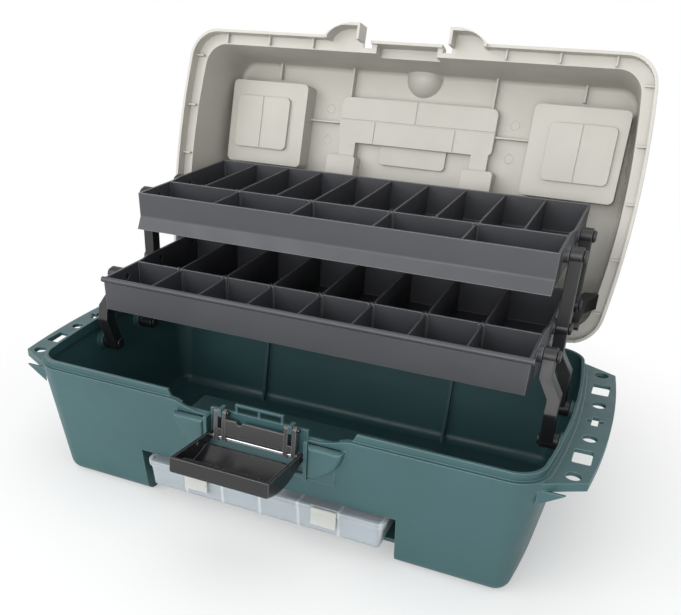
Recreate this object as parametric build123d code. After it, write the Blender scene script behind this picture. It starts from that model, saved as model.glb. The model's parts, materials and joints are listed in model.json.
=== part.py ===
"""Two-tray cantilever tackle box, modelled standing open as it is used.

X runs along the box, Y from the front to the back and Z up. The origin is the
middle of the underside. The lid is drawn shut and then swung open about its hinge.
"""
from build123d import *
from math import cos, radians, sin, sqrt, tan
import os

os.makedirs("parts", exist_ok=True)

# Tub
tub_half_len = 217.0        # at the ledge, at the widest
tub_half_depth = 115.0
end_bow = 9.0               # how far the ends bulge past their corners
tub_corner = 26.0
tub_draft = 8.0
tub_wall = 2.6
ledge_z = 107.0
lip_height = 6.0
lip_inset = 3.0             # the lip stands this far in from the outside
lip_wall = 2.4
foot_round = 12.0

# Wing handles
wing_reach = 23.5           # from the ledge to the outer edge at mid depth
wing_bow = 6.0
wing_shoulder_back = 25.0   # the shoulders lie this far in from the tub's front and back
wing_root_back = 8.0
wing_drop = 1.4             # top face below the ledge
wing_thick = 3.2
wing_rib = 2.0
hole_r = 5.5
hole_pitch = 28.5
slot_size = (13.0, 20.0)

# Latch bay in the front wall
bay_half = 40.5
bay_depth = 4.1             # from the ledge's front face to the bay's inner wall
bay_fall = 37.0             # from the ledge to the bay's floor
dip_half = 79.0
dip_drop = 6.5              # the rim dips this far below the ledge
cheek_reach = 33.0
cheek_swell = 4.5           # the cheeks stand this far out of the ledge
keeper_drop = 1.0

# Organiser and the bay it slides into
org_half_len = 104.0
org_depth = 106.0
org_setback = 3.4           # its front lies this far behind the ledge's front face
org_floor_z = 17.0
org_height = 21.0
org_lid_thick = 3.3
org_lid_gap = 0.1
org_wall = 1.5
org_corner = 7.0
org_draft = 6.0
org_cells = 6
org_side_gap = 7.0
org_top_gap = 4.6
rail_drop = 0.3
clip_x = 56.0
clip_width = 21.0

# Lid
lid_skirt_out = 3.0         # the skirt stands this far outside the ledge
lid_wall = 2.4
lid_overhang = 0.8          # how far the skirt reaches below the ledge
lid_ledge_gap = 5.0         # room for the gussets above the lip
dome_inset = 8.6
dome_draft = 2.5
dome_round = 7.0
lid_height = 89.2           # above the tub's ledge
lid_open = 105.0
hinge_back = 4.6            # the hinge line behind the ledge
hinge_rise = 6.6            # and above it
knuckle_r = 5.0
hinge_pin_r = 2.2
hinge_x = 120.0
knuckle_len = 13.0
fit_gap = 0.05              # round a turning pin
side_gap = 0.3              # between moving faces

# Legs that reach from the lid's end walls to the arms
stay_thick = 6.5
stay_beside_tray = 8.9      # from the tray's end to the leg
stay_foot = (100.0, 84.0)
stay_root_y = 79.0

# Wells in the lid's top
well_len = 84.5
well_width = 80.5
well_from_end = 22.5
well_from_front = 34.5
well_deep = 25.3            # from the lid's top to the underside of the well
inner_well_step = 3.5
grip_half = 79.0
grip_width = 43.0
grip_from_front = 41.0
grip_deep = 12.8
tab_half = 34.0
tab_reach = 18.0
tab_deep = 6.6
ear_x = (55.0, 85.0)
ear_shift = 14.0
ear_width = 21.0
ear_deep = 21.1

# Carrying handle
handle_reach = 24.0         # from the grip recess to the pins
handle_pin_deep = 7.2
handle_x = 68.0
handle_pin_r = 2.0

# Trays
arm_room = 35.4             # from the tub's ledge to the trays' ends
tray_step = 2.2             # the ends step in here for the arms
tray_depth = 158.0
tray_wall = 1.8
tray_mid = 50.0             # front edge to the long middle wall
tray_bend_r = 30.0          # the step in the ends is an easy S-bend
tray_floor_drop = 28.4
tray_draft = 1.0
plate = 1.6                 # dividers
plate_gap = 0.15
lower_front = -46.6
lower_rise = 7.8            # rim above the pivots
lower_deep = 36.0           # the rear row is deeper
upper_front = 13.0
upper_rise = 8.3
divider_sag = 0.6
guide_half = 0.8
guide_reach = 1.9
lower_front_cells = 8
lower_rear_cells = 8
upper_front_cells = 5
upper_rear_cells = 10
lip_roll_r = 2.4
skirt_start = 20.0
skirt_drop = 30.4
skirt_flare = 5.5

# Arms: three on each end, all turning about X
pivot_base_z = 90.0
pivot_low_z = 158.0
pivot_high_z = 216.0
pivot_front_y = -15.3
arm_spacing = 57.7
arm_stand_off = 2.0         # from the tray's end to the arms
arm_thick = 9.6
arm_half_width = 5.6
arm_joggle = 9.0
arm_pin_r = 3.0
pin_socket_r = 8.0            # boss in the tub round a base pin
arm_eye_r = 6.4
dogleg_out = 10.2           # the short arm bends forward by this much
dogleg_rise = 28.0

# Latch
link_pin_out = 3.7          # in front of the bay's inner wall
link_pin_drop = 0.6         # below the ledge
latch_rod_out = 5.5
link_len = 20.9
latch_rod_r = 1.5
latch_pin_r = 1.6
lever_half = 39.0
lever_len = 57.0
lever_wall = 2.2
lever_tilt = 7.0
lever_belly = 12.0
lever_rise = 3.5
lever_eye_r = 3.4
hook_depth = 5.4            # the hook strip inside the lever's lip
hook_half = 30.0
hook_gap = 0.6
catch_half = 33.0
horn_x = (41.0, 74.0)
horn_reach = 10.6

past = 25.0                 # cuts run this far past the outside

# Places that follow from the sizes above
wing_out = tub_half_len + wing_reach
wing_shoulder_x = wing_out - wing_bow
wing_shoulder_y = tub_half_depth - wing_shoulder_back
wing_root_y = tub_half_depth - wing_root_back
wing_top = ledge_z - wing_drop
bay_back = bay_depth - tub_half_depth
bay_floor = ledge_z - bay_fall
dip_z = ledge_z - dip_drop
cheek_out = tub_half_depth + cheek_swell
keeper_z = ledge_z - keeper_drop
org_front = org_setback - tub_half_depth
org_rim_z = org_floor_z + org_height
org_lid_top = org_rim_z + org_lid_gap + org_lid_thick
lid_half_len = tub_half_len + lid_skirt_out
lid_half_depth = tub_half_depth + lid_skirt_out
lid_top = ledge_z + lid_height
hinge_y = tub_half_depth + hinge_back
hinge_z = ledge_z + hinge_rise
well_x = (lid_half_len - well_from_end - well_len, lid_half_len - well_from_end)
well_y = (well_from_front - lid_half_depth, well_from_front + well_width - lid_half_depth)
well_under = lid_top - well_deep
inner_well_x = (well_x[0] + 17.0, well_x[1] - 8.5)
inner_well_y = (well_y[0] + 15.0, well_y[1] - 15.0)
inner_well_under = well_under - inner_well_step
grip_y = (grip_from_front - lid_half_depth, grip_from_front + grip_width - lid_half_depth)
grip_under = lid_top - grip_deep
tab_back = grip_y[1] + tab_reach
tab_under = lid_top - tab_deep
ear_y = (grip_y[1] + ear_shift, grip_y[1] + ear_shift + ear_width)
ear_under = lid_top - ear_deep
handle_pivot_y = grip_y[1] + handle_reach
handle_pivot_z = lid_top - handle_pin_deep
tray_half = tub_half_len - arm_room
arm_inner_x = tray_half + arm_stand_off
stay_x = (tray_half + stay_beside_tray, tray_half + stay_beside_tray + stay_thick)
lower_top = pivot_low_z + lower_rise
upper_top = pivot_high_z + upper_rise
dogleg = (pivot_front_y - dogleg_out, pivot_base_z + dogleg_rise)
link_pin_y = bay_back - link_pin_out
link_pin_z = ledge_z - link_pin_drop
latch_rod_y = bay_back - latch_rod_out
latch_rod_z = link_pin_z - link_len
horn_out = lid_half_depth + horn_reach
pivot_mid_y = pivot_front_y + arm_spacing
pivot_rear_y = pivot_mid_y + arm_spacing
lip_top = ledge_z + lip_height
catch_top = latch_rod_z + lever_len - hook_depth - hook_gap


def block(x0, x1, y0, y1, z0, z1):
    """A box between two corners."""
    size = (abs(x1 - x0), abs(y1 - y0), abs(z1 - z0))
    return Pos((x0 + x1) / 2, (y0 + y1) / 2, (z0 + z1) / 2) * Box(*size)


def soft_block(x0, x1, y0, y1, z0, z1, r):
    """A box with rounded upright edges."""
    base = Pos((x0 + x1) / 2, (y0 + y1) / 2, z0) * RectangleRounded(abs(x1 - x0), abs(y1 - y0), r)
    return extrude(base, z1 - z0)


def rod(x0, x1, y, z, r):
    """A cylinder along X."""
    return Pos((x0 + x1) / 2, y, z) * Rot(0, 90, 0) * Cylinder(r, abs(x1 - x0))


def both(shape):
    """The piece and its mirror image on the other end."""
    return [shape, mirror(shape, Plane.YZ)]


def outline(half_len, half_depth, bow, corner):
    """The plan of tub and lid: straight front and back, bowed ends, round corners."""
    x = half_len - bow
    edges = [
        Line((-x, -half_depth), (x, -half_depth)),
        ThreePointArc((x, -half_depth), (half_len, 0), (x, half_depth)),
        Line((x, half_depth), (-x, half_depth)),
        ThreePointArc((-x, half_depth), (-half_len, 0), (-x, -half_depth)),
    ]
    face = make_face(edges)
    return fillet(face.vertices(), corner)


def inset_outline(inset, half_len=tub_half_len, half_depth=tub_half_depth):
    """The tub's outline, drawn in evenly."""
    return outline(half_len - inset, half_depth - inset, end_bow, tub_corner - inset)


def sunk(face, z_top, depth, draft):
    """A solid that hangs from z_top and narrows downwards."""
    return Pos(0, 0, z_top) * mirror(extrude(face, depth, taper=draft), Plane.XY)


def prism(face, z0, z1):
    """A straight solid between two heights."""
    return Pos(0, 0, z0) * extrude(face, z1 - z0)


def side_prism(points, x0, x1):
    """A (y, z) outline carried along X."""
    face = make_face(Polyline(*[(0, y, z) for y, z in points], close=True))
    return Pos(x0, 0, 0) * extrude(face, x1 - x0, dir=(1, 0, 0))


def front_prism(points, y0, y1):
    """An (x, z) outline carried along Y."""
    face = make_face(Polyline(*[(x, 0, z) for x, z in points], close=True))
    return Pos(0, y0, 0) * extrude(face, y1 - y0, dir=(0, 1, 0))


def join(shapes):
    """Fuse a list into one shape."""
    result = shapes[0]
    for shape in shapes[1:]:
        result = result + shape
    return result


def save(name, shapes):
    """Write one node, whose solids stay separate pieces."""
    solids = [s for shape in shapes for s in shape.solids()]
    export_step(Compound(children=solids), f"parts/{name}.step")


# Tub: drafted shell, ledge and lip
def wing(side_cut):
    """One wing handle: plate, edge rib, two gussets and its row of holes."""
    root_x = tub_half_len - end_bow - 6

    def plan(inset):
        out = [
            Line((root_x, -wing_root_y + inset), (wing_shoulder_x - inset, -wing_shoulder_y + inset)),
            ThreePointArc(
                (wing_shoulder_x - inset, -wing_shoulder_y + inset),
                (wing_out - inset, 0),
                (wing_shoulder_x - inset, wing_shoulder_y - inset),
            ),
            Line((wing_shoulder_x - inset, wing_shoulder_y - inset), (root_x, wing_root_y - inset)),
            Line((root_x, wing_root_y - inset), (root_x, -wing_root_y + inset)),
        ]
        return make_face(out)

    flat = prism(plan(0), wing_top - wing_thick, wing_top)
    skirt_z = wing_top - 2 * wing_thick
    edge = prism(plan(0), skirt_z, wing_top) - prism(plan(wing_rib), skirt_z - 1, wing_top)
    gussets = []
    for end in (-1, 1):
        y = end * (wing_root_y - 3.4)
        web = front_prism(
            [
                (root_x, skirt_z + 1),
                (wing_shoulder_x - 12, skirt_z + 1),
                (tub_half_len - end_bow - 6, skirt_z - 13),
            ],
            y - wing_rib / 2,
            y + wing_rib / 2,
        )
        gussets.append(web)
    handle = flat + edge + join(gussets)
    mid_x = (tub_half_len + wing_out) / 2 - 0.5
    for i in range(-3, 4):
        y = i * hole_pitch
        x = mid_x - 0.0006 * y * y
        if abs(i) == 2:
            tool = Pos(x, y, skirt_z) * extrude(RectangleRounded(*slot_size, 1.5), 20)
        elif i == 0:
            tool = block(x - 6, x + 6, y - 2.4, y + 2.4, skirt_z, wing_top + 9)
            tool = tool + block(x - 2.4, x + 2.4, y - 7.5, y + 7.5, skirt_z, wing_top + 9)
        else:
            tool = Pos(x, y, wing_top) * Cylinder(hole_r, 20)
        handle = handle - tool
    return handle - side_cut


def cheek(shrink):
    """A quarter-round bulge beside the latch bay, seen from the front."""
    reach = cheek_reach - shrink
    tip = cheek_out - shrink
    root_y = tub_half_depth - 10
    quarter = Circle(reach) & (Pos(reach / 2, -reach / 2) * Rectangle(reach, reach))
    face = Plane((bay_half, 0, dip_z), x_dir=(1, 0, 0), z_dir=(0, -1, 0)) * quarter
    body = Pos(0, -root_y, 0) * extrude(face, tip - root_y, dir=(0, -1, 0), taper=14)
    rim = body.faces().sort_by(Axis.Y)[0].edges()
    return fillet(rim, 3.0)


def make_tub():
    """The moulded tub with wings, latch bay, organiser bay and arm sockets."""
    outer = sunk(inset_outline(0), ledge_z, ledge_z, tub_draft)
    outer = fillet(outer.faces().sort_by(Axis.Z)[0].edges(), foot_round)
    lip = prism(inset_outline(lip_inset), ledge_z - 1, lip_top)
    neck_z = ledge_z - tub_wall
    neck = prism(inset_outline(lip_inset + lip_wall), neck_z - 1, lip_top + 1)
    slope = tan(radians(tub_draft))
    cavity = sunk(inset_outline(tub_wall + tub_wall * slope), neck_z, neck_z - tub_wall, tub_draft)
    cavity = fillet(cavity.faces().sort_by(Axis.Z)[0].edges(), foot_round - tub_wall)

    # Organiser bay, roofed and walled off from the inside
    front_out = tub_half_depth + past
    bay_x = org_half_len + org_side_gap
    bay_top = org_lid_top + org_top_gap
    bay_rear = org_front + org_depth + 1.6
    casing = block(
        -bay_x - tub_wall, bay_x + tub_wall, -front_out, bay_rear + tub_wall, -5, bay_top + tub_wall
    )
    casing = fillet(casing.edges().filter_by(Axis.Y).sort_by(Axis.Z)[-2:], 5)
    cavity = cavity - casing
    org_bay = block(-bay_x, bay_x, -front_out, bay_rear, -5, bay_top)
    thumb = Pos(0, org_front + 7.6, bay_top - 1) * Rot(90, 0, 0) * extrude(Ellipse(20, 12), 8, both=True)

    # Latch bay: cheeks, straight inner wall, side walls and floor
    cheeks = both(cheek(0))
    hollows = both(cheek(tub_wall))
    inner_wall = block(
        -bay_half - 22, bay_half + 22, bay_back, bay_back + tub_wall, bay_floor - 6, dip_z
    )
    keeper = block(-bay_half, bay_half, bay_back, bay_back + tub_wall, dip_z - 1, keeper_z)
    side_x = bay_half + tub_wall
    sill = block(-side_x, side_x, link_pin_y, bay_back + 1, bay_floor - tub_wall, bay_floor)
    bay_sides = both(
        block(bay_half, side_x, 1.0 - cheek_out, bay_back + 1, bay_floor - tub_wall, dip_z)
    )
    opening = block(-bay_half, bay_half, -front_out, bay_back, bay_floor, lip_top + 5)
    dip = front_prism(
        [
            (-dip_half, lip_top + 2),
            (-dip_half + 3.6, ledge_z),
            (-dip_half + 9, ledge_z - 0.8),
            (-dip_half + 18, dip_z + 2.2),
            (-dip_half + 27, dip_z),
            (dip_half - 27, dip_z),
            (dip_half - 18, dip_z + 2.2),
            (dip_half - 9, ledge_z - 0.8),
            (dip_half - 3.6, ledge_z),
            (dip_half, lip_top + 2),
        ],
        -front_out,
        11 - tub_half_depth,
    )
    body = outer + lip
    body = body + join(cheeks)
    body = body - cavity - neck - dip - join(hollows) - opening
    body = body + inner_wall + keeper + sill + join(bay_sides)

    # Keeper frame behind the link, like a wide staple
    staple_y = (bay_back + 1.1, bay_back + 3.3)
    legs = [block(x - 0.9, x + 0.9, *staple_y, keeper_z - 4, lip_top - 0.4) for x in (-19, 0, 19)]
    bar = block(-19.9, 19.9, *staple_y, lip_top - 2.2, lip_top - 0.4)
    ears = both(
        side_prism(
            [
                (bay_back + 1, link_pin_z + 3.6),
                (link_pin_y - 3.4, link_pin_z + 3.6),
                (link_pin_y - 3.4, link_pin_z - 2.5),
                (bay_back + 1, link_pin_z - 8),
            ],
            27.6,
            30.4,
        )
    )
    body = body + join(legs) + bar + join(ears)
    body = body - rod(-60, 60, link_pin_y, link_pin_z, latch_pin_r + fit_gap)
    body = body - org_bay - thumb

    # Rails under the organiser's edges
    rails = both(
        block(
            org_half_len - 8,
            bay_x + 1,
            org_front + 19.6,
            bay_rear + 1,
            org_floor_z - rail_drop - 3,
            org_floor_z - rail_drop,
        )
    )
    body = body + join(rails)

    # Buttress ribs on the rear wall
    back_in = tub_half_depth - tub_wall - (ledge_z - 88) * slope
    ribs = both(
        side_prism(
            [
                (back_in + 1.5, 92),
                (back_in - 4, 86),
                (back_in - 20, 3),
                (back_in - 5, 1.5),
                (back_in + 1, 30),
            ],
            96 - tub_wall / 2,
            96 + tub_wall / 2,
        )
    )
    body = body + join([r & (outer + lip) for r in ribs])

    # Sockets for the arms' base pins
    for y in (pivot_front_y, pivot_mid_y):
        for x in (1, -1):
            inner_end, wall_end = x * (arm_barrel_end + side_gap), x * (tub_half_len - 1)
            socket = rod(inner_end, wall_end, y, pivot_base_z, pin_socket_r) & outer
            hole = rod(x * arm_inner_x, x * base_pin_end, y, pivot_base_z, arm_pin_r + fit_gap)
            body = body + socket - hole

    # Wings and hinge knuckles
    one = wing(prism(inset_outline(tub_wall / 2), ledge_z - past, ledge_z + past))
    body = body + join(both(one))
    for x in (-hinge_x, hinge_x):
        for side in (-1, 1):
            x0 = x + side * (knuckle_len / 2 + side_gap)
            x1 = x0 + side * knuckle_len
            web = side_prism(
                [
                    (tub_half_depth - 3, 92),
                    (hinge_y + knuckle_r - 0.4, hinge_z - 2),
                    (hinge_y + knuckle_r - 0.4, hinge_z),
                    (hinge_y - 4.6, hinge_z),
                    (tub_half_depth - 1.6, ledge_z - 0.5),
                    (tub_half_depth - 3, ledge_z - 0.5),
                ],
                min(x0, x1),
                max(x0, x1),
            )
            body = body + web + rod(x0, x1, hinge_y, hinge_z, knuckle_r)
    body = body - rod(-hinge_x - 40, hinge_x + 40, hinge_y, hinge_z, hinge_pin_r + fit_gap)
    return body


# Arms
arm_barrel_end = arm_inner_x + arm_joggle + arm_thick + 4.4
base_pin_end = arm_barrel_end + 3.4


def capsule_chain(points, r):
    """A bar with round ends and bends in the side view."""
    face = None
    for (y0, z0), (y1, z1) in zip(points, points[1:]):
        run = sqrt((y1 - y0) ** 2 + (z1 - z0) ** 2)
        across = ((z1 - z0) / run * r, -(y1 - y0) / run * r)
        strip = Polyline(
            (0, y0 + across[0], z0 + across[1]),
            (0, y1 + across[0], z1 + across[1]),
            (0, y1 - across[0], z1 - across[1]),
            (0, y0 - across[0], z0 - across[1]),
            close=True,
        )
        part = make_face(strip)
        face = part if face is None else face + part
    return face


def arm(points, joggle_z, eyes):
    """One moulded arm: a bar with eyes, stepped outwards below joggle_z."""
    x0 = arm_inner_x
    x1 = x0 + arm_thick
    bar = extrude(capsule_chain(points, arm_half_width), x1 + arm_joggle - x0, dir=(1, 0, 0))
    bar = Pos(x0, 0, 0) * bar
    for y, z in points:
        bar = bar + rod(x0, x1 + arm_joggle, y, z, arm_half_width)
    for y, z in eyes:
        bar = bar + rod(x0, x1 + arm_joggle, y, z, arm_eye_r)
    top = points[0][1] + 20
    low = points[-1][1] - 20
    if joggle_z is None:
        front = [(x0, low), (x1, low), (x1, top), (x0, top)]
    else:
        ramp = arm_joggle * 0.8
        front = [
            (x0, top),
            (x1, top),
            (x1, joggle_z + ramp),
            (x1 + arm_joggle, joggle_z - ramp),
            (x1 + arm_joggle, low),
            (x0 + arm_joggle, low),
            (x0 + arm_joggle, joggle_z - ramp - 2),
            (x0, joggle_z + ramp - 2),
        ]
    bar = bar & front_prism(front, -lid_half_depth, lid_half_depth)
    for y, z in eyes:
        bar = bar - rod(x0 - past, x1 + past, y, z, arm_pin_r + fit_gap)
    return bar


def make_short_arm():
    """Front arm: tub to lower tray, bent forward, with a barrel at its foot."""
    base = (pivot_front_y, pivot_base_z)
    top = (pivot_front_y, pivot_low_z)
    body = arm([top, dogleg, base], pivot_base_z + 48, [top, base])
    barrel = rod(arm_inner_x + arm_joggle, arm_barrel_end, *base, arm_eye_r)
    return body + barrel - rod(arm_inner_x, arm_barrel_end + 1, *base, arm_pin_r + fit_gap)


def make_long_arm():
    """Middle arm: tub to upper tray, carrying the lower tray on the way."""
    base = (pivot_mid_y, pivot_base_z)
    eyes = [(pivot_mid_y, pivot_high_z), (pivot_mid_y, pivot_low_z), base]
    body = arm([eyes[0], base], pivot_base_z + 40, eyes)
    barrel = rod(arm_inner_x + arm_joggle, arm_barrel_end, *base, arm_eye_r)
    return body + barrel - rod(arm_inner_x, arm_barrel_end + 1, *base, arm_pin_r + fit_gap)


def make_rear_arm():
    """Rear arm: lower tray to upper tray."""
    eyes = [(pivot_rear_y, pivot_high_z), (pivot_rear_y, pivot_low_z)]
    return arm(eyes, None, eyes)


def end_face(front, y):
    """Outside face of a tray's end wall at a depth y."""
    stepped = y < front + tray_mid + 13
    return tray_half - (tray_step if stepped else 0)


def tray_pin(front, y, z):
    """A headed pin from the tray's end wall through the arm."""
    head = arm_inner_x + arm_thick + side_gap
    stem = rod(end_face(front, y) - tray_wall, head + 0.2, y, z, arm_pin_r)
    return stem + rod(head, head + 1.8, y, z, arm_pin_r + 1.8)


def base_pin(y):
    """A pin from the tub's socket through the arm's barrel."""
    x0 = arm_inner_x + arm_joggle - side_gap - 1.6
    stem = rod(x0, base_pin_end - 0.2, y, pivot_base_z, arm_pin_r)
    return stem + rod(x0, x0 + 1.6, y, pivot_base_z, arm_pin_r + 1.8)


# Trays
def tray_plan(front, depth, inset):
    """Tray outline; the ends step in ahead of the middle wall."""
    h = tray_half - inset
    s = tray_half - tray_step - inset
    y0 = front + inset
    y1 = front + depth - inset
    a = front + tray_mid + 8
    b = front + tray_mid + 18
    right = [(s, y0), (s, a), (h, b), (h, y1)]
    left = [(-x, y) for x, y in reversed(right)]
    face = make_face(Polyline(*right, *left, close=True))
    bends = [v for v in face.vertices() if a - 1 < v.Y < b + 1]
    return fillet(bends, tray_bend_r)


def tray_room(front, y0, y1, top, drop, inset):
    """The space between walls from y0 to y1, as deep as drop."""
    shape = sunk(tray_plan(front, tray_depth, inset), top + 1, drop + 1, tray_draft)
    return shape & block(-300, 300, y0, y1, top - drop - 5, top + 5)


def cells(half, count):
    """X places of the dividers between a row's cells."""
    return [-half + 2 * half * i / count for i in range(1, count)]


def tray_shell(front, top, rear_drop, pivots):
    """Tray with a middle wall, pivot bosses and two rows of room."""
    mid = front + tray_mid
    body = sunk(tray_plan(front, tray_depth, 0), top, tray_floor_drop, tray_draft)
    if rear_drop > tray_floor_drop:
        deep = sunk(tray_plan(front, tray_depth, 0), top, rear_drop, tray_draft)
        body = body + (deep & block(-300, 300, mid - tray_wall / 2, front + 300, 0, top))
    room_f = tray_room(
        front, front, mid - tray_wall / 2, top, tray_floor_drop - tray_wall, tray_wall
    )
    room_r = tray_room(front, mid + tray_wall / 2, front + 300, top, rear_drop - tray_wall, tray_wall)
    for y, z in pivots:
        for side in (-1, 1):
            inner = side * (end_face(front, y) - tray_wall)
            boss = rod(inner, side * (arm_inner_x - side_gap), y, z, arm_eye_r)
            body = body + boss
    body = body - room_f - room_r
    for y, z in pivots:
        for side in (-1, 1):
            body = body - rod(side * (tray_half - 12), side * (arm_inner_x + 6), y, z, arm_pin_r + fit_gap)
    return body


def row_half(front_row):
    """Half length of a row's clear room at the top."""
    return tray_half - (tray_step if front_row else 0) - tray_wall


def guide_ribs(front, top, drop, count, rear_count):
    """Pairs of upright ribs on the middle wall that hold the dividers' ends."""
    mid = front + tray_mid
    ribs = []
    for front_row, places in ((True, count), (False, rear_count)):
        foot = top - drop + tray_wall - 0.4 if front_row else top - 9
        face = -1 if front_row else 1
        y = (mid + face * (tray_wall / 2 - 0.3), mid + face * (tray_wall / 2 + guide_reach))
        for x in cells(row_half(front_row), places):
            for side in (-1, 1):
                centre = x + side * (plate / 2 + plate_gap + guide_half)
                ribs.append(block(centre - guide_half, centre + guide_half, *y, foot, top))
    return ribs


def row_dividers(front, top, drop, front_row, count):
    """Flat plates standing between their ribs; the outer end leans as the tray's wall does."""
    mid = front + tray_mid
    z0 = top - drop + tray_wall + plate_gap
    z1 = top - divider_sag
    lean = (z1 - z0) * tan(radians(tray_draft))
    if front_row:
        y0, y1 = front + tray_wall + side_gap, mid - tray_wall / 2 - plate_gap
        foot = (y0 + lean, y1)
    else:
        y0, y1 = mid + tray_wall / 2 + plate_gap, front + tray_depth - tray_wall - side_gap
        foot = (y0, y1 - lean)
    profile = [(foot[0], z0), (foot[1], z0), (y1, z1), (y0, z1)]
    return [side_prism(profile, x - plate / 2, x + plate / 2) for x in cells(row_half(front_row), count)]


def make_lower_tray():
    """Lower tray with a rolled front lip."""
    pivots = [(y, pivot_low_z) for y in (pivot_front_y, pivot_mid_y, pivot_rear_y)]
    body = tray_shell(lower_front, lower_top, lower_deep, pivots)
    end = tray_half - tray_step + 2.2
    roll = rod(-end, end, lower_front + lip_roll_r / 2, lower_top - lip_roll_r + 0.4, lip_roll_r)
    roll = roll - block(-300, 300, lower_front + tray_wall, lower_front + 9, lower_top - 9, lower_top + 9)
    ribs = guide_ribs(lower_front, lower_top, tray_floor_drop, lower_front_cells, lower_rear_cells)
    return body + roll + join(ribs)


def make_upper_tray():
    """Upper tray with a front wall that flares out at its foot."""
    pivots = [(y, pivot_high_z) for y in (pivot_mid_y, pivot_rear_y)]
    body = tray_shell(upper_front, upper_top, tray_floor_drop, pivots)
    end = tray_half - tray_step
    lean = (skirt_start - 1) * tan(radians(tray_draft))
    y = upper_front + lean
    z = upper_top - skirt_start
    flare = side_prism(
        [
            (y, z + 1),
            (y - 0.9, z - 1.2),
            (y - skirt_flare, upper_top - skirt_drop + 1.0),
            (y - skirt_flare - 0.6, upper_top - skirt_drop),
            (y - skirt_flare + 1.6, upper_top - skirt_drop),
            (y + 1.2, z - 3.4),
            (y + 1.2, z + 1),
        ],
        -end + 0.6,
        end - 0.6,
    )
    closers = both(
        side_prism(
            [
                (y + 0.4, z),
                (y - skirt_flare, upper_top - skirt_drop + 0.6),
                (y + 3.5, upper_top - tray_floor_drop + 0.4),
            ],
            end - 2.2,
            end - 0.6,
        )
    )
    ribs = guide_ribs(upper_front, upper_top, tray_floor_drop, upper_front_cells, upper_rear_cells)
    return body + flare + join(closers) + join(ribs)


# Lid, drawn shut
def well(x, y, under, corner):
    """Outer block and inner room of a recess in the lid's top."""
    t = lid_wall
    shell = soft_block(x[0], x[1], y[0], y[1], under, lid_top, corner)
    room = soft_block(
        x[0] + t, x[1] - t, y[0] + t, y[1] - t, under + t, lid_top + 5, max(corner - t, 0.8)
    )
    return shell, room


def horn(shrink):
    """One rounded ear beside the latch on the lid's front edge."""
    x0 = horn_x[0] + shrink
    x1 = horn_x[1] - shrink
    y_in = -lid_half_depth + 3
    out = -horn_out + shrink
    knee = x0 + 9
    edges = [
        Line((x0, y_in), (x0, out)),
        Line((x0, out), (knee, out)),
        ThreePointArc((knee, out), (x0 + 24, out + 4.4), (x1, -lid_half_depth + 0.5)),
        Line((x1, -lid_half_depth + 0.5), (x1, y_in)),
        Line((x1, y_in), (x0, y_in)),
    ]
    return make_face(edges)


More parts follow.
